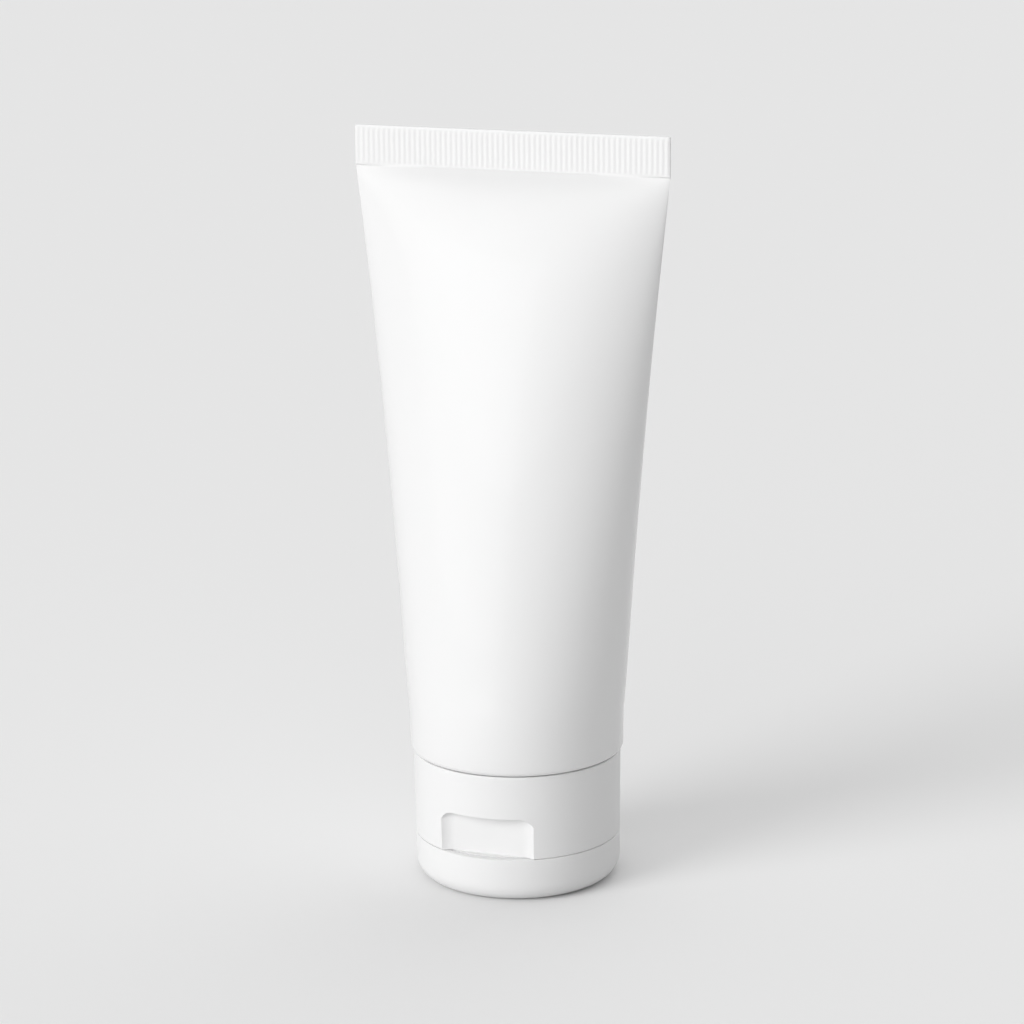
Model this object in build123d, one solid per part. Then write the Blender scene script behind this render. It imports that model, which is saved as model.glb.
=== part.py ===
from build123d import *
from math import copysign, cos, hypot, pi, radians, sin, tan
import os

# A toothpaste tube that stands on its flip-top cap.  Millimetres, +Z up.
# The origin is the centre of the lid's flat outer face.  The flat seal runs along X,
# the thumb recess of the cap faces -Y and the lid's film hinge is at +Y.

# Driving dimensions of the tube
total_height = 140.8
tube_radius = 20.0
sleeve_wall = 0.5
seal_width = 60.2
seal_height = 7.5
seal_thickness = 1.0
crimp_count = 60
crimp_depth = 0.12
crimp_margin = 0.7
collar_height = 3.0
rim_rounding = 1.0
lip_reach = 1.6
spread_power = 1.2
edge_pinch = 0.6

# Head: the shoulder and the threaded neck
shoulder_angle = 30.0
shoulder_wall = 1.4
weld_band_height = 2.0
neck_radius = 8.2
neck_bore_radius = 6.2
neck_chamfer = 0.4
thread_pitch = 3.0
thread_height = 0.9
thread_crest = 0.8
thread_root = 1.7
neck_thread_turns = 2.0
neck_thread_start = 1.6

# Cap base
cap_height = 24.55
cap_step = 0.55
skirt_draft = 0.17
skirt_wall = 1.4
deck_thickness = 1.4
plateau_drop = 1.2
plateau_wall = 1.4
chimney_wall = 1.4
chimney_height = 7.9
cap_thread_turns = 1.2
cap_thread_start = 3.9
edge_rounding = 0.2
spout_height = 4.3
spout_base_radius = 5.0
spout_tip_radius = 4.2
orifice_radius = 3.1

# Thumb recess in the cap base
recess_width = 18.0
recess_height = 7.9
recess_depth = 2.9
recess_side_radius = 4.1
recess_corner_radius = 3.2
recess_side_margin = 0.4
recess_wall = 1.3

# Flip lid
lid_height = 8.55
lid_wall = 1.3
lid_plate = 1.5
lid_edge_radius = 3.5
lid_inner_edge_radius = 2.2
lid_draft = 0.1
plug_engagement = 1.6
plug_wall = 0.9
plug_taper = 0.28

# Film hinge
hinge_flat_depth = 0.53
hinge_flat_reach = 2.2
film_width = 7.0
film_thickness = 0.28
film_reach = 2.0

# Liner ring and fill
liner_thickness = 0.8
liner_radius = 8.9
fill_level = 0.93

# Clearances
seat_gap = 0.03
rim_gap = 0.18
parting_gap = 0.08
plateau_gap = 0.3
thread_gap = 0.15
plug_gap = 0.12
film_gap = 0.02
fill_gap = 0.15

# Heights and radii that follow from them
parting_z = lid_height
plateau_z = parting_z - plateau_drop
deck_z = plateau_z + deck_thickness
liner_z = deck_z + seat_gap
neck_end_z = liner_z + liner_thickness + seat_gap
cap_top_radius = tube_radius - cap_step
cap_parting_radius = cap_top_radius - skirt_draft
rim_z = cap_height + rim_gap
collar_z = rim_z + collar_height
seal_z = total_height - seal_height
lip_radius = tube_radius - lip_reach
spout_tip_z = plateau_z - spout_height
plateau_radius = cap_parting_radius - lid_wall - plateau_gap
bore_radius = neck_radius + thread_height + thread_gap
hinge_flat_y = cap_parting_radius - hinge_flat_depth

# The sleeve's shape from the round collar (t = 0) to the flat seal (t = 1)
section_levels = (0.1, 0.25, 0.4, 0.55, 0.7, 0.82, 0.91, 0.965, 1.0)
section_points = 32


def turned(*corners):
    """Solid of revolution about Z; each corner is (radius, height, rounding)."""
    points = [(r, z) for r, z, rounding in corners]
    roundings = [rounding for r, z, rounding in corners]
    outline = FilletPolyline(*points, radius=roundings, close=True)
    return revolve(Plane.XZ * make_face(outline.edges()), Axis.Z)


def box_between(low, high):
    size = [b - a for a, b in zip(low, high)]
    centre = [(a + b) / 2 for a, b in zip(low, high)]
    return Pos(*centre) * Box(*size)


def helical_ridge(start_z, turns, root_radius, crest_radius):
    """Right-hand trapezoid ridge from its root to its crest, sunk a little into its wall."""
    sink = copysign(0.2, crest_radius - root_radius)
    helix = Helix(thread_pitch, thread_pitch * turns, root_radius, center=(0, 0, start_z))
    start = Plane(origin=helix @ 0, x_dir=(1, 0, 0), z_dir=helix % 0)
    reach = crest_radius - root_radius
    outline = Polyline(
        (-sink, -thread_root / 2),
        (0, -thread_root / 2),
        (reach, -thread_crest / 2),
        (reach, thread_crest / 2),
        (0, thread_root / 2),
        (-sink, thread_root / 2),
        close=True,
    )
    return sweep(start * make_face(outline.edges()), path=helix, is_frenet=True)


def section_outline(half_width, half_depth, pinch):
    """Points round one level of the sleeve, pinched towards its two side edges."""
    points = []
    for step in range(section_points):
        angle = 2 * pi * step / section_points
        y = half_depth * copysign(abs(sin(angle)) ** pinch, sin(angle))
        points.append((half_width * cos(angle), y))
    return points


def girth(points):
    neighbours = zip(points, points[1:] + points[:1])
    return sum(hypot(bx - ax, by - ay) for (ax, ay), (bx, by) in neighbours)


def half_width_at(t):
    return tube_radius + (seal_width / 2 - tube_radius) * t**spread_power


def half_depth_at(t):
    """The depth that keeps the sleeve's girth, found by halving an interval."""
    target = 2 * pi * tube_radius * (1 - t) + 2 * seal_width * t
    low = seal_thickness / 2
    high = tube_radius
    for _ in range(40):
        middle = (low + high) / 2
        if girth(section_outline(half_width_at(t), middle, pinch_at(t))) > target:
            high = middle
        else:
            low = middle
    return low


def pinch_at(t):
    return 1 + edge_pinch * t**3


def section_ring(z, half_width, half_depth, pinch):
    """Closed curve at one level; all levels share their parameters, so they loft cleanly."""
    points = [(x, y, z) for x, y in section_outline(half_width, half_depth, pinch)]
    shares = [step / section_points for step in range(section_points + 1)]
    return Wire([Edge.make_spline(points, periodic=True, parameters=shares)])


def sleeve_volume(inset, bottom_z, levels):
    """Solid inside the sleeve, moved inwards by the inset, from a round bottom upwards."""
    radius = tube_radius - inset
    rings = [section_ring(z, radius, radius, 1) for z in (bottom_z, collar_z)]
    for t in levels:
        z = rim_z + t * (seal_z - rim_z)
        half_width = half_width_at(t) - inset
        half_depth = half_depth_at(t) - inset
        rings.append(section_ring(z, half_width, half_depth, pinch_at(t)))
    return Solid.make_loft(rings)


def rounded_bottom(solid, radius):
    return fillet(solid.edges().sort_by(Axis.Z)[0], radius)


def crimped_seal():
    """Flat end of the sleeve with a corrugated band between two plain margins."""
    half = seal_width / 2
    step = seal_width / (2 * crimp_count)
    wave = [(step * i - half, crimp_depth * (i % 2)) for i in range(2 * crimp_count + 1)]
    shift = seal_thickness / 2
    front = [(x, y - shift - crimp_depth / 2) for x, y in wave]
    back = [(x, y + shift - crimp_depth / 2) for x, y in reversed(wave)]
    band = extrude(
        Pos(0, 0, seal_z + crimp_margin) * make_face(Polyline(*front, *back, close=True).edges()),
        seal_height - 2 * crimp_margin,
    )
    plain = box_between((-half, -shift, seal_z), (half, shift, seal_z + crimp_margin))
    top = box_between(
        (-half, -shift, total_height - crimp_margin), (half, shift, total_height)
    )
    return plain + band + top


def make_sleeve():
    """Thin wall with its lower edge turned in under the shoulder, and the crimped seal."""
    hollow_levels = [t for t in section_levels if half_depth_at(t) > 2 * sleeve_wall]
    outside = rounded_bottom(sleeve_volume(0, rim_z, section_levels), rim_rounding)
    hollow = sleeve_volume(sleeve_wall, rim_z + sleeve_wall, hollow_levels)
    inside = rounded_bottom(hollow, rim_rounding - sleeve_wall)
    mouth = Pos(0, 0, rim_z) * Cylinder(lip_radius, 4 * sleeve_wall)
    return outside - inside - mouth + crimped_seal()


# The cone that the head and the fill share
cone_slope = tan(radians(shoulder_angle))
shoulder_z = rim_z + sleeve_wall + seat_gap
shoulder_radius = lip_radius - seat_gap
rim_radius = tube_radius - sleeve_wall - seat_gap
rim_inner_radius = rim_radius - shoulder_wall
rim_top_z = shoulder_z + weld_band_height


def cone_z(radius):
    return shoulder_z - (shoulder_radius - radius) * cone_slope


def inner_cone_z(radius):
    return cone_z(radius) + shoulder_wall / cos(radians(shoulder_angle))


def make_head():
    """Shoulder cone with its weld band, and the neck with its thread."""
    shell = turned(
        (neck_bore_radius, neck_end_z, 0),
        (neck_radius - neck_chamfer, neck_end_z, 0),
        (neck_radius, neck_end_z + neck_chamfer, 0),
        (neck_radius, cone_z(neck_radius), 0.6),
        (shoulder_radius, shoulder_z, 0),
        (rim_radius, shoulder_z, rim_rounding - sleeve_wall - seat_gap),
        (rim_radius, rim_top_z, 0),
        (rim_inner_radius, rim_top_z, 0),
        (rim_inner_radius, inner_cone_z(rim_inner_radius), 0.4),
        (neck_bore_radius, inner_cone_z(neck_bore_radius), 0.6),
    )
    start = neck_end_z + neck_thread_start
    crest = neck_radius + thread_height
    return shell + helical_ridge(start, neck_thread_turns, neck_radius, crest)


def make_paste():
    """The fill: the neck, the cone and the sleeve up to the fill level."""
    neck = neck_bore_radius - fill_gap
    rim = rim_inner_radius - fill_gap
    cover_z = rim_top_z + fill_gap
    lower = turned(
        (0, neck_end_z, 0),
        (neck, neck_end_z, 0),
        (neck, inner_cone_z(neck) + 2 * fill_gap, 0),
        (rim, inner_cone_z(rim) + 2 * fill_gap, 0),
        (rim, cover_z + fill_gap, 0),
        (0, cover_z + fill_gap, 0),
    )
    levels = [t for t in section_levels if t < fill_level] + [fill_level]
    return lower + sleeve_volume(sleeve_wall + fill_gap, cover_z, levels)


def make_liner():
    top = liner_z + liner_thickness
    return turned(
        (neck_bore_radius, liner_z, 0),
        (liner_radius, liner_z, 0),
        (liner_radius, top, 0),
        (neck_bore_radius, top, 0),
    )


def recess_cutter():
    """Thumb recess: a flat floor with hollow sides and rounded upper corners."""
    side_x = recess_width / 2
    floor_y = recess_depth - cap_parting_radius
    rise = floor_y + (cap_parting_radius**2 - side_x**2) ** 0.5
    arc_reach = (2 * recess_side_radius * rise - rise**2) ** 0.5
    half = side_x - arc_reach + recess_side_radius
    far_y = -2 * cap_parting_radius
    plan = FilletPolyline(
        (-half, far_y),
        (-half, floor_y),
        (half, floor_y),
        (half, far_y),
        radius=(0, recess_side_radius, recess_side_radius, 0),
        close=True,
    )
    column = extrude(Pos(0, 0, parting_z) * make_face(plan.edges()), recess_height)
    front_x = side_x + recess_side_margin
    front = FilletPolyline(
        (-front_x, parting_z),
        (-front_x, parting_z + recess_height),
        (front_x, parting_z + recess_height),
        (front_x, parting_z),
        radius=(0, recess_corner_radius, recess_corner_radius, 0),
        close=True,
    )
    return column & extrude(Plane.XZ * make_face(front.edges()), -far_y)


def recess_backing():
    """Wall behind the thumb recess, inside the skirt."""
    side_x = recess_width / 2 + recess_wall
    back_y = recess_depth - cap_parting_radius + recess_wall
    low = (-side_x, -cap_parting_radius, parting_z)
    block = box_between(low, (side_x, back_y, parting_z + recess_height + recess_wall))
    skirt_middle = cap_parting_radius - skirt_wall / 2
    return block & Pos(0, 0, cap_height / 2) * Cylinder(skirt_middle, cap_height)


def hinge_flat():
    """Flat at the back of the cap and the lid, in which the film hinge lies."""
    reach = cap_parting_radius
    low = (-reach, hinge_flat_y, parting_z - hinge_flat_reach)
    return box_between(low, (reach, 2 * reach, parting_z + hinge_flat_reach))


def make_cap_base():
    """Skirt, deck with its plateau, spout, and the chimney that screws on the neck."""
    skirt_inner = cap_parting_radius - skirt_wall
    outer_deck_z = parting_z + deck_thickness
    chimney_outer = bore_radius + chimney_wall
    shell = turned(
        (orifice_radius, spout_tip_z, 0.3),
        (orifice_radius, deck_z, 0.3),
        (bore_radius, deck_z, 0),
        (bore_radius, deck_z + chimney_height, 0.3),
        (chimney_outer, deck_z + chimney_height, 0.3),
        (chimney_outer, deck_z, 0.5),
        (plateau_radius - plateau_wall, deck_z, 0),
        (plateau_radius - plateau_wall, outer_deck_z, 0),
        (skirt_inner, outer_deck_z, 0.5),
        (skirt_inner, cap_height, 0.2),
        (cap_top_radius, cap_height, 0.3),
        (cap_parting_radius, parting_z, edge_rounding),
        (plateau_radius, parting_z, 0),
        (plateau_radius, plateau_z, 0.4),
        (spout_base_radius, plateau_z, 0.5),
        (spout_tip_radius, spout_tip_z, 0.4),
    )
    start = deck_z + cap_thread_start
    ridge = helical_ridge(start, cap_thread_turns, bore_radius, neck_radius + thread_gap)
    return shell + recess_backing() - recess_cutter() - hinge_flat() + ridge


def make_flip_lid():
    """Shallow cup with a rounded edge and the plug that closes the orifice."""
    rim = parting_z - parting_gap
    inner = cap_parting_radius - lid_wall
    shell = turned(
        (0, 0, 0),
        (cap_parting_radius - lid_draft, 0, lid_edge_radius),
        (cap_parting_radius, rim, edge_rounding),
        (inner, rim, edge_rounding),
        (inner - lid_draft, lid_plate, lid_inner_edge_radius),
        (0, lid_plate, 0),
    )
    plug_radius = orifice_radius - plug_gap
    tip_radius = plug_radius - plug_taper * plug_engagement
    plug = turned(
        (plug_radius - plug_wall - plug_taper * plug_engagement, lid_plate / 2, 0),
        (plug_radius, lid_plate / 2, 0),
        (plug_radius, spout_tip_z, 0),
        (tip_radius, spout_tip_z + plug_engagement, 0.2),
        (tip_radius - plug_wall, spout_tip_z + plug_engagement, 0.2),
    )
    return shell + plug - hinge_flat()


def make_hinge_film():
    y = hinge_flat_y + film_gap
    low = (-film_width / 2, y, parting_z - film_reach)
    return box_between(low, (film_width / 2, y + film_thickness, parting_z + film_reach))


parts = {
    "sleeve": make_sleeve(),
    "head": make_head(),
    "paste": make_paste(),
    "liner_ring": make_liner(),
    "cap_base": make_cap_base(),
    "flip_lid": make_flip_lid(),
    "hinge_film": make_hinge_film(),
}

os.makedirs("parts", exist_ok=True)
for name, shape in parts.items():
    export_step(shape, f"parts/{name}.step")
    print(f"{name}: {len(shape.solids())} solid, {shape.volume / 1000:.2f} ml")
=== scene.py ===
import math

import bmesh
import bpy
import numpy as np
from mathutils import Matrix, Vector


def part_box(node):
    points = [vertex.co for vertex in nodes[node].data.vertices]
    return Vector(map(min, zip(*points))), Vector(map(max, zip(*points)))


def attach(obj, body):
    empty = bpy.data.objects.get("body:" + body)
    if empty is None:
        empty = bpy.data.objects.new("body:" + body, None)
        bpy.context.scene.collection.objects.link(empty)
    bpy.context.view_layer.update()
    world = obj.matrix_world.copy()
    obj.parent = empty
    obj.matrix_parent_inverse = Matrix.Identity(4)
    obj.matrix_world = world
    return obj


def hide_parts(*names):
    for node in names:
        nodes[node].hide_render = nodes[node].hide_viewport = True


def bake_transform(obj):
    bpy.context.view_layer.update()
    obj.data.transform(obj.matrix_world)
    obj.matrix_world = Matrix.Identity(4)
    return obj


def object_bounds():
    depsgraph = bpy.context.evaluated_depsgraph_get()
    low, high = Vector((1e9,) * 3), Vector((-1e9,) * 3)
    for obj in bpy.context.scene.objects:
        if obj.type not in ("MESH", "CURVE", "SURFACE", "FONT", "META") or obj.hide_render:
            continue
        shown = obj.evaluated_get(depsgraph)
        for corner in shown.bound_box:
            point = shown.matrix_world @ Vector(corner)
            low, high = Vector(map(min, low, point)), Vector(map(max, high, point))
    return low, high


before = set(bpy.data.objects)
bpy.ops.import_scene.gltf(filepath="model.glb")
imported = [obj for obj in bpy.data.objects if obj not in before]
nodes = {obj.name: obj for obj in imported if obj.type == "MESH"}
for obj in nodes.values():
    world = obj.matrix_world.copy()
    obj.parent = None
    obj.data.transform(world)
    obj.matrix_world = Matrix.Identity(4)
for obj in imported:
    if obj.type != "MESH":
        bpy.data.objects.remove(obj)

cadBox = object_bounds()
print("frame is loaded")


def newGroup(name, inputs, outputs):
    group = bpy.data.node_groups.new(name, "ShaderNodeTree")
    for label, value in inputs.items():
        kind = "NodeSocketFloat" if isinstance(value, float) else "NodeSocketColor"
        socket = group.interface.new_socket(name=label, in_out="INPUT", socket_type=kind)
        socket.default_value = value
    for label, kind in outputs.items():
        group.interface.new_socket(name=label, in_out="OUTPUT", socket_type=kind)
    return group, group.nodes.new("NodeGroupInput"), group.nodes.new("NodeGroupOutput")


def mouldedSkin():
    # cloudy colour, uneven gloss and two sizes of surface grain
    group, source, result = newGroup("mouldedSkin", {
        "Colour": (0.8, 0.8, 0.8, 1), "Cloud Colour": (0.7, 0.7, 0.7, 1), "Cloud Scale": 60.0,
        "Low Roughness": 0.3, "High Roughness": 0.4,
        "Grain Scale": 2500.0, "Grain Depth": 0.000004,
        "Wave Scale": 110.0, "Wave Depth": 0.00001,
    }, {
        "Colour": "NodeSocketColor", "Roughness": "NodeSocketFloat",
        "Normal": "NodeSocketVector",
    })
    new, link = group.nodes.new, group.links.new
    place = new("ShaderNodeTexCoord")

    def noise(scaleName, detail):
        node = new("ShaderNodeTexNoise")
        node.inputs["Detail"].default_value = detail
        link(place.outputs["Object"], node.inputs["Vector"])
        link(source.outputs[scaleName], node.inputs["Scale"])
        return node.outputs["Fac"]

    def maths(operation, first, second):
        node = new("ShaderNodeMath")
        node.operation = operation
        link(first, node.inputs[0])
        link(second, node.inputs[1])
        return node.outputs[0]

    clouds = noise("Cloud Scale", detail=4.0)
    grain = noise("Grain Scale", detail=2.0)
    wave = noise("Wave Scale", detail=1.0)
    tint = new("ShaderNodeMix")
    tint.data_type = "RGBA"
    link(clouds, tint.inputs["Factor"])
    link(source.outputs["Colour"], tint.inputs["A"])
    link(source.outputs["Cloud Colour"], tint.inputs["B"])
    link(tint.outputs["Result"], result.inputs["Colour"])
    gloss = new("ShaderNodeMapRange")
    link(clouds, gloss.inputs["Value"])
    link(source.outputs["Low Roughness"], gloss.inputs["To Min"])
    link(source.outputs["High Roughness"], gloss.inputs["To Max"])
    link(gloss.outputs["Result"], result.inputs["Roughness"])
    bump = new("ShaderNodeBump")
    bump.inputs["Distance"].default_value = 1.0
    link(maths("ADD", maths("MULTIPLY", grain, source.outputs["Grain Depth"]),
               maths("MULTIPLY", wave, source.outputs["Wave Depth"])), bump.inputs["Height"])
    link(bump.outputs["Normal"], result.inputs["Normal"])
    return group


skinGroup = mouldedSkin()


def plastic(name, skin, shader):
    material = bpy.data.materials.new(name)
    material.use_nodes = True
    tree = material.node_tree
    principled = tree.nodes["Principled BSDF"]
    surface = tree.nodes.new("ShaderNodeGroup")
    surface.node_tree = skinGroup
    for label, value in skin.items():
        surface.inputs[label].default_value = value
    for label, value in shader.items():
        principled.inputs[label].default_value = value
    for label, target in (("Colour", "Base Color"), ("Roughness", "Roughness"),
                          ("Normal", "Normal")):
        tree.links.new(surface.outputs[label], principled.inputs[target])
    return material


def grey(level):
    return (level, level, level, 1.0)


sleeveFilm = plastic("sleeveFilm", {
    "Colour": grey(0.87), "Cloud Colour": grey(0.86),
    "Low Roughness": 0.36, "High Roughness": 0.42,
    "Grain Depth": 0.000001, "Wave Depth": 0.000004,
}, {"IOR": 1.5, "Coat Weight": 0.5, "Coat Roughness": 0.06})
capPlastic = plastic("capPlastic", {
    "Colour": grey(0.87), "Cloud Colour": grey(0.86),
    "Low Roughness": 0.4, "High Roughness": 0.46,
    "Grain Depth": 0.000001, "Wave Depth": 0.000004,
}, {"IOR": 1.49})
headPlastic = plastic("headPlastic", {
    "Colour": grey(0.84), "Cloud Colour": grey(0.82),
    "Low Roughness": 0.38, "High Roughness": 0.48,
}, {"IOR": 1.5})
linerFoam = plastic("linerFoam", {
    "Colour": grey(0.78), "Cloud Colour": grey(0.72),
    "Low Roughness": 0.7, "High Roughness": 0.85,
    "Grain Scale": 1800.0, "Grain Depth": 0.00002,
}, {"IOR": 1.4})
paste = plastic("paste", {
    "Colour": (0.8, 0.85, 0.85, 1), "Cloud Colour": (0.74, 0.81, 0.82, 1),
    "Low Roughness": 0.18, "High Roughness": 0.3, "Wave Depth": 0.00005,
}, {"IOR": 1.45})
for nodeName, material in (("head", headPlastic), ("liner_ring", linerFoam), ("paste", paste),
                           ("cap_base", capPlastic), ("flip_lid", capPlastic),
                           ("hinge_film", capPlastic)):
    for slot in nodes[nodeName].material_slots:
        slot.material = material
print("plastics are mixed")


finish = {"weldDistance": 0.0000005, "sharpAngle": 35.0}


def addPiece(name, bm, material):
    bmesh.ops.remove_doubles(bm, verts=bm.verts, dist=finish["weldDistance"])
    bmesh.ops.recalc_face_normals(bm, faces=bm.faces)
    for face in bm.faces:
        face.smooth = True
    sharpAngle = math.radians(finish["sharpAngle"])
    for edge in bm.edges:
        if len(edge.link_faces) == 2 and edge.calc_face_angle(0) > sharpAngle:
            edge.smooth = False
    mesh = bpy.data.meshes.new(name)
    bm.to_mesh(mesh)
    bm.free()
    mesh.materials.append(material)
    piece = bpy.data.objects.new(name, mesh)
    bpy.context.scene.collection.objects.link(piece)
    print(name, "has", len(mesh.polygons), "faces")
    return piece


# the sleeve is one skin from its open inner end at the seal, round the lip, to the crimped end
sleeve = {
    "radius": 0.02, "wall": 0.0005,
    "lipReach": 0.0016, "rimRounding": 0.001, "lipRounding": 0.0001,
    "collar": 0.003, "collarBlend": 0.012, "footBlend": 0.0007,
    "spreadPower": 1.2, "edgePinch": 0.6, "edgePinchPower": 3,
    "sealHeight": 0.0075, "sealThickness": 0.001, "sealPinch": 0.25, "sealCorner": 0.0002,
    "ribs": 60, "ribDepth": 0.000045, "ribMargin": 0.0007, "ribTopMargin": 0.0006,
    "ribFade": 0.0003, "ribFootSteps": (0, 0.5, 1), "ribTopSteps": (1, 0.6, 0.25),
    "ribAtCorner": 0.1, "cornerCut": 0.3,
    "columnsPerRib": 8, "roundRows": 6, "lipRows": 2, "sealRows": 6,
    "bodyRows": 40, "bodyCrowding": 1.8, "insideRows": 12, "insideCrowding": 2,
    "girthColumns": 180, "girthHalvings": 30,
}
sleeveLow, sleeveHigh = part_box("sleeve")
sealFoot = sleeveHigh.z - sleeve["sealHeight"]


def outline(halfWidth, halfDepth, pinch, count):
    # points evenly spaced along one level, starting at +X
    angles = np.linspace(0, 2 * math.pi, 4 * count + 1)
    x = halfWidth * np.cos(angles)
    y = halfDepth * np.sign(np.sin(angles)) * np.abs(np.sin(angles)) ** pinch
    run = np.concatenate([[0], np.cumsum(np.hypot(np.diff(x), np.diff(y)))])
    even = np.linspace(0, run[-1], count, endpoint=False)
    return np.interp(even, run, x), np.interp(even, run, y), run[-1]


def halfWidthAt(t):
    return sleeve["radius"] + (sleeveHigh.x - sleeve["radius"]) * t ** sleeve["spreadPower"]


def pinchAt(t):
    return 1 + sleeve["edgePinch"] * t ** sleeve["edgePinchPower"]


def halfDepthAt(t):
    # the film doesn't stretch, so the depth follows from the girth
    girth = 2 * math.pi * sleeve["radius"] * (1 - t) + 4 * sleeveHigh.x * t
    low, high = sleeve["sealThickness"] / 2, sleeve["radius"]
    for _ in range(sleeve["girthHalvings"]):
        middle = (low + high) / 2
        if outline(halfWidthAt(t), middle, pinchAt(t), sleeve["girthColumns"])[2] > girth:
            high = middle
        else:
            low = middle
    return low


def bodyRow(z, inset):
    t = (z - sleeveLow.z) / (sealFoot - sleeveLow.z)
    ease = min(max((z - sleeveLow.z - sleeve["collar"]) / sleeve["collarBlend"], 0), 1)
    t *= ease * ease * (3 - 2 * ease)
    blend = sleeve["footBlend"] / (sealFoot - sleeveLow.z) * ease
    below, above = max(t - blend, 0), min(t + blend, 1)
    depth = (halfDepthAt(below) + halfDepthAt(t) + halfDepthAt(above)) / 3
    return z, halfWidthAt(t) - inset, max(depth - inset, 0), pinchAt(t), 0


def roundRow(radius, z):
    return z, radius, radius, 1, 0


def quarterTurn(centreRadius, centreZ, radius, start, end, count):
    rows = []
    for i in range(count + 1):
        angle = math.radians(start + (end - start) * i / count)
        rows.append(roundRow(centreRadius + radius * math.cos(angle),
                             centreZ + radius * math.sin(angle)))
    return rows


def sleeveRows():
    foot, radius, wall = sleeveLow.z, sleeve["radius"], sleeve["wall"]
    lip, rim, mouth = sleeve["lipRounding"], sleeve["rimRounding"], radius - sleeve["lipReach"]
    bodyFoot = foot + sleeve["collar"]
    rows = []
    for i in range(sleeve["insideRows"] + 1):
        share = (i / sleeve["insideRows"]) ** sleeve["insideCrowding"]
        rows.append(bodyRow(sealFoot + (bodyFoot - sealFoot) * share, wall))
    turn, lipTurn = sleeve["roundRows"], sleeve["lipRows"]
    rows += quarterTurn(radius - rim, foot + rim, rim - wall, 0, -90, turn)
    rows += quarterTurn(mouth + lip, foot + wall - lip, lip, 90, 180, lipTurn)
    rows += quarterTurn(mouth + lip, foot + lip, lip, 180, 270, lipTurn)
    rows += quarterTurn(radius - rim, foot + rim, rim, -90, 0, turn)
    for i in range(sleeve["bodyRows"] + 1):
        share = 1 - (1 - i / sleeve["bodyRows"]) ** sleeve["bodyCrowding"]
        rows.append(bodyRow(bodyFoot + (sealFoot - bodyFoot) * share, 0))
    width, thick, top = sleeveHigh.x, sleeve["sealThickness"] / 2, sleeveHigh.z
    fade, corner, pinch = sleeve["ribFade"], sleeve["sealCorner"], sleeve["sealPinch"]
    ribFoot, ribTop = sealFoot + sleeve["ribMargin"], top - sleeve["ribTopMargin"]
    rows.append((sealFoot + fade, width, thick, pinch, 0))
    for share in sleeve["ribFootSteps"]:
        rows.append((ribFoot - fade / 2 + fade * share, width, thick, pinch, share))
    for i in range(1, sleeve["sealRows"]):
        z = ribFoot + fade / 2 + (ribTop - ribFoot - fade) * i / sleeve["sealRows"]
        rows.append((z, width, thick, pinch, 1))
    for share in sleeve["ribTopSteps"]:
        rows.append((ribTop - fade / 2 + fade * (1 - share), width, thick, pinch, share))
    rows.append((top - corner, width, thick, pinch, sleeve["ribAtCorner"]))
    cut = corner * sleeve["cornerCut"]
    rows.append((top - cut, width - cut, thick - cut, pinch, 0))
    rows.append((top, width - corner, thick - corner, pinch, 0))
    rows.append((top, width - corner, 0, pinch, 0))
    return rows


def buildSleeve():
    rows = sleeveRows()
    columns = 2 * sleeve["ribs"] * sleeve["columnsPerRib"]
    table = []
    for z, halfWidth, halfDepth, pinch, rib in rows:
        x, y, _ = outline(halfWidth, halfDepth, pinch, columns)
        wave = np.cos(x / sleeveHigh.x * math.pi * sleeve["ribs"])
        table.append((x, y + rib * sleeve["ribDepth"] * wave, z))
    bm = bmesh.new()
    height = len(rows) - 1
    bmesh.ops.create_cone(bm, cap_ends=False, segments=columns, radius1=1, radius2=1,
                          depth=height)
    upright = [e for e in bm.edges if abs(e.verts[0].co.z - e.verts[1].co.z) > height / 2]
    bmesh.ops.subdivide_edges(bm, edges=upright, cuts=height - 1, use_grid_fill=True)
    for vert in bm.verts:
        column = round(math.atan2(vert.co.y, vert.co.x) / (2 * math.pi) * columns) % columns
        x, y, z = table[round(vert.co.z + height / 2)]
        vert.co = x[column], y[column], z
    return addPiece("squeezeSleeve", bm, sleeveFilm)


squeezeSleeve = buildSleeve()
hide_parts("sleeve")
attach(squeezeSleeve, "tube")


# the lid is a turned cup with its plug, and a flat for the film at the back
lid = {
    "radius": 0.01928, "draft": 0.0001, "wall": 0.0013, "plate": 0.0015,
    "edge": 0.0035, "innerEdge": 0.0022, "rimEdge": 0.0002, "cornerSegments": 8,
    "plugRadius": 0.00298, "plugWall": 0.0009, "plugStraight": 0.00305, "plugTip": 0.00465,
    "plugTaper": 0.00045, "plugEdge": 0.0002, "steps": 240,
    "flatDepth": 0.00053, "flatReach": 0.0022, "flatStep": 0.00003,
    "cutTolerance": 0.0000001,
}
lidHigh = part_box("flip_lid")[1]


def rounded(corners, segments):
    # a profile in X and Z whose corners carry their own rounding
    profile = []
    for i, (x, z, radius) in enumerate(corners):
        here = Vector((x, 0, z))
        if not radius:
            profile.append(here)
            continue
        before = Vector((corners[i - 1][0], 0, corners[i - 1][1])) - here
        after = Vector((corners[i + 1][0], 0, corners[i + 1][1])) - here
        half = before.angle(after) / 2
        reach = radius / math.tan(half)
        inward = (before.normalized() + after.normalized()).normalized()
        centre = here + inward * radius / math.sin(half)
        start = here + before.normalized() * reach - centre
        end = here + after.normalized() * reach - centre
        for k in range(segments + 1):
            profile.append(centre + start.slerp(end, k / segments) * radius)
    return profile


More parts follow.
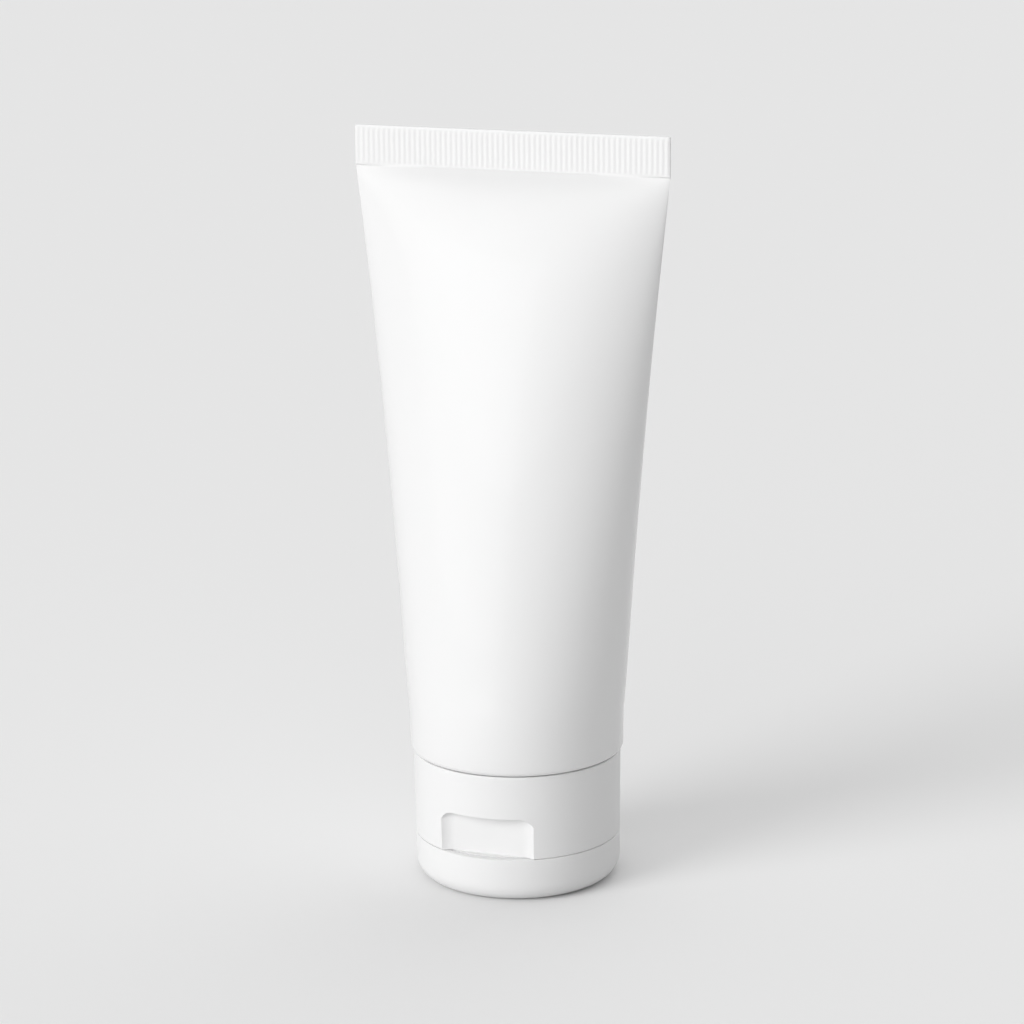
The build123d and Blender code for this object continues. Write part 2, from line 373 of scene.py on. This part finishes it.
def spun(corners, steps, segments):
    bm = bmesh.new()
    verts = [bm.verts.new(point) for point in rounded(corners, segments)]
    edges = [bm.edges.new(pair) for pair in zip(verts, verts[1:])]
    bmesh.ops.spin(bm, geom=verts + edges, axis=(0, 0, 1), cent=(0, 0, 0), steps=steps,
                   angle=2 * math.pi, use_merge=True)
    return bm


def cutFlat(bm, flatY, low, high):
    # a flat at the back between two heights, with a crisp step at each end
    step, reach = lid["flatStep"], lid["flatStep"] / 3
    up, back = (0, 0, 1), (0, 1, 0)
    cuts = [((0, 0, z), up) for z in (low, low - step, high, high + step)]
    for place, normal in cuts + [((0, flatY, 0), back)]:
        bmesh.ops.bisect_plane(bm, geom=bm.verts[:] + bm.edges[:] + bm.faces[:],
                               dist=lid["cutTolerance"], plane_co=place, plane_no=normal)
    for vert in bm.verts:
        if vert.co.y > flatY and low - reach < vert.co.z < high + reach:
            vert.co.y = flatY


def buildLid():
    radius, rim = lid["radius"], lidHigh.z
    inner, floorZ = radius - lid["wall"], lid["plate"]
    tip, plug, edge = lid["plugRadius"] - lid["plugTaper"], lid["plugRadius"], lid["plugEdge"]
    bore = tip - lid["plugWall"]
    bm = spun([
        (0, 0, 0), (radius - lid["draft"], 0, lid["edge"]), (radius, rim, lid["rimEdge"]),
        (inner, rim, lid["rimEdge"]), (inner - lid["draft"], floorZ, lid["innerEdge"]),
        (plug, floorZ, edge), (plug, lid["plugStraight"], 0), (tip, lid["plugTip"], edge),
        (bore, lid["plugTip"], edge), (bore, floorZ, edge), (0, floorZ, 0),
    ], lid["steps"], lid["cornerSegments"])
    # the flat runs out through the rim, so its upper end lies well above the lid
    cutFlat(bm, radius - lid["flatDepth"], rim - lid["flatReach"], rim + 1)
    return addPiece("flipLid", bm, capPlastic)


flipLid = buildLid()
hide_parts("flip_lid")
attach(flipLid, "lid")


# the film hinge is a strip that thins to a fold line
film = {
    "rows": 40, "foldThickness": 0.00016, "foldReach": 0.0005, "edge": 0.00006,
    "bendReach": 0.001,
}
filmLow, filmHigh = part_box("hinge_film")
foldZ = (filmLow.z + filmHigh.z) / 2


def buildFilm():
    size, centre = filmHigh - filmLow, (filmHigh + filmLow) / 2
    bm = bmesh.new()
    bmesh.ops.create_cube(bm, size=1)
    bmesh.ops.scale(bm, vec=size, verts=bm.verts)
    bmesh.ops.translate(bm, vec=centre, verts=bm.verts)
    bmesh.ops.bevel(bm, geom=bm.edges[:], offset=film["edge"], affect="EDGES",
                    segments=2, profile=0.5, material=-1)
    upright = [e for e in bm.edges if abs(e.verts[0].co.z - e.verts[1].co.z) > size.z / 2]
    bmesh.ops.subdivide_edges(bm, edges=upright, cuts=film["rows"], use_grid_fill=True)
    for vert in bm.verts:
        near = max(1 - abs(vert.co.z - foldZ) / film["foldReach"], 0)
        thin = 1 - (1 - film["foldThickness"] / size.y) * near
        vert.co.y = centre.y + (vert.co.y - centre.y) * thin
    return addPiece("hingeFilm", bm, capPlastic)


hingeFilm = buildFilm()
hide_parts("hinge_film")
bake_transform(hingeFilm)
print("pieces are built")


studio = {
    "floorSize": 24.0,
    "floorColour": 0.89,
    "floorBounce": 0.7,
    "background": 0.79,
    "keyAzimuth": -35.0,
    "keyElevation": 25.0,
    "keySpread": 30.0,
    "keyStrength": 1.18,
    "keyDistance": 2.0,
    "boxWidth": 0.45,
    "boxHeight": 0.25,
    "boxAzimuth": -30.0,
    "boxDistance": 0.46,
    "boxPower": 0.24,
}
# big soft panels round the table: azimuth, elevation, tightness and strength
panels = [
    (-10, 10, 4, 1.91), (-100, 10, 4, 0.52), (170, 10, 4, 0.52),
    (170, 45, 2, 0.92), (0, 90, 3, 0.27),
]


def direction(azimuth, elevation):
    a, e = math.radians(azimuth), math.radians(elevation)
    return Vector((math.sin(a) * math.cos(e), -math.cos(a) * math.cos(e), math.sin(e)))


def aimed(thing, place, target):
    turn = (target - place).to_track_quat("-Z", "Y").to_matrix().to_4x4()
    thing.matrix_world = Matrix.Translation(place) @ turn


def addLamp(name, kind, place, target):
    lamp = bpy.data.objects.new(name, bpy.data.lights.new(name, kind))
    bpy.context.scene.collection.objects.link(lamp)
    aimed(lamp, place, target)
    lamp.visible_camera = False
    return lamp


def seenDirectly(tree):
    # 1 for what the camera sees, straight or in glossy and clear surfaces
    path = tree.nodes.new("ShaderNodeLightPath")
    total = path.outputs["Is Camera Ray"]
    for label in ("Is Glossy Ray", "Is Transmission Ray"):
        node = tree.nodes.new("ShaderNodeMath")
        node.operation = "MAXIMUM"
        tree.links.new(total, node.inputs[0])
        tree.links.new(path.outputs[label], node.inputs[1])
        total = node.outputs[0]
    return total


lowest = cadBox[0]

bm = bmesh.new()
bmesh.ops.create_grid(bm, x_segments=1, y_segments=1, size=studio["floorSize"] / 2)
floorMesh = bpy.data.meshes.new("floor")
bm.to_mesh(floorMesh)
bm.free()
floor = bpy.data.objects.new("floor", floorMesh)
bpy.context.scene.collection.objects.link(floor)
floor.location.z = lowest.z
paper = bpy.data.materials.new("paper")
paper.use_nodes = True
tree = paper.node_tree
tree.nodes.remove(tree.nodes["Principled BSDF"])
matt = tree.nodes.new("ShaderNodeBsdfDiffuse")
shade = tree.nodes.new("ShaderNodeMix")
shade.data_type = "RGBA"
shade.inputs["A"].default_value = grey(studio["floorBounce"])
shade.inputs["B"].default_value = grey(studio["floorColour"])
tree.links.new(seenDirectly(tree), shade.inputs["Factor"])
tree.links.new(shade.outputs["Result"], matt.inputs["Color"])
tree.links.new(matt.outputs["BSDF"], tree.nodes["Material Output"].inputs["Surface"])
floorMesh.materials.append(paper)

world = bpy.data.worlds.new("studioAir")
bpy.context.scene.world = world
world.use_nodes = True
air = world.node_tree
where = air.nodes.new("ShaderNodeTexCoord")


def airMath(operation, first, second):
    node = air.nodes.new("ShaderNodeMath")
    node.operation = operation
    for socket, value in zip(node.inputs, (first, second)):
        if isinstance(value, (int, float)):
            socket.default_value = value
        else:
            air.links.new(value, socket)
    return node.outputs[0]


light = 0
for azimuth, elevation, tightness, strength in panels:
    facing = air.nodes.new("ShaderNodeVectorMath")
    facing.operation = "DOT_PRODUCT"
    facing.inputs[1].default_value = direction(azimuth, elevation)
    air.links.new(where.outputs["Generated"], facing.inputs[0])
    panel = airMath("POWER", airMath("MAXIMUM", facing.outputs["Value"], 0), tightness)
    light = airMath("ADD", airMath("MULTIPLY", panel, strength), light)
cameraOnly = air.nodes.new("ShaderNodeLightPath")
pick = air.nodes.new("ShaderNodeMix")
pick.inputs["B"].default_value = studio["background"]
air.links.new(cameraOnly.outputs["Is Camera Ray"], pick.inputs["Factor"])
air.links.new(light, pick.inputs["A"])
air.links.new(pick.outputs["Result"], air.nodes["Background"].inputs["Strength"])
air.nodes["Background"].inputs["Color"].default_value = (1, 1, 1, 1)

keyPlace = direction(studio["keyAzimuth"], studio["keyElevation"]) * studio["keyDistance"]
key = addLamp("keyLight", "SUN", keyPlace, Vector((0, 0, 0)))
key.data.energy = studio["keyStrength"]
key.data.angle = math.radians(studio["keySpread"])
key.visible_glossy = False

boxPlace = direction(studio["boxAzimuth"], 0) * studio["boxDistance"]
boxPlace.z = lowest.z + studio["boxHeight"] / 2
softBox = addLamp("softBox", "AREA", boxPlace, Vector((0, 0, boxPlace.z)))
softBox.data.shape = "RECTANGLE"
softBox.data.size, softBox.data.size_y = studio["boxWidth"], studio["boxHeight"]
softBox.data.energy = studio["boxPower"]
softBox.visible_diffuse = False

view = {
    "azimuth": 19.5, "elevation": 14.481, "distance": 0.65737,
    "aimHeight": 0.06982, "aimAside": -0.00049, "roll": -0.645,
    "lens": 124.89, "sensorWidth": 36.0, "clipStart": 0.01, "clipEnd": 50.0,
}
camera = bpy.data.objects.new("camera", bpy.data.cameras.new("camera"))
bpy.context.scene.collection.objects.link(camera)
bpy.context.scene.camera = camera
camera.data.sensor_width = view["sensorWidth"]
camera.data.lens = view["lens"]
camera.data.clip_start, camera.data.clip_end = view["clipStart"], view["clipEnd"]
azimuth = math.radians(view["azimuth"])
aim = Vector((math.cos(azimuth), math.sin(azimuth), 0)) * view["aimAside"]
aim.z = lowest.z + view["aimHeight"]
aimed(camera, aim + direction(view["azimuth"], view["elevation"]) * view["distance"], aim)
camera.matrix_world = camera.matrix_world @ Matrix.Rotation(math.radians(view["roll"]), 4, "Z")
bpy.context.scene.view_settings.view_transform = "Standard"
print("studio is set")
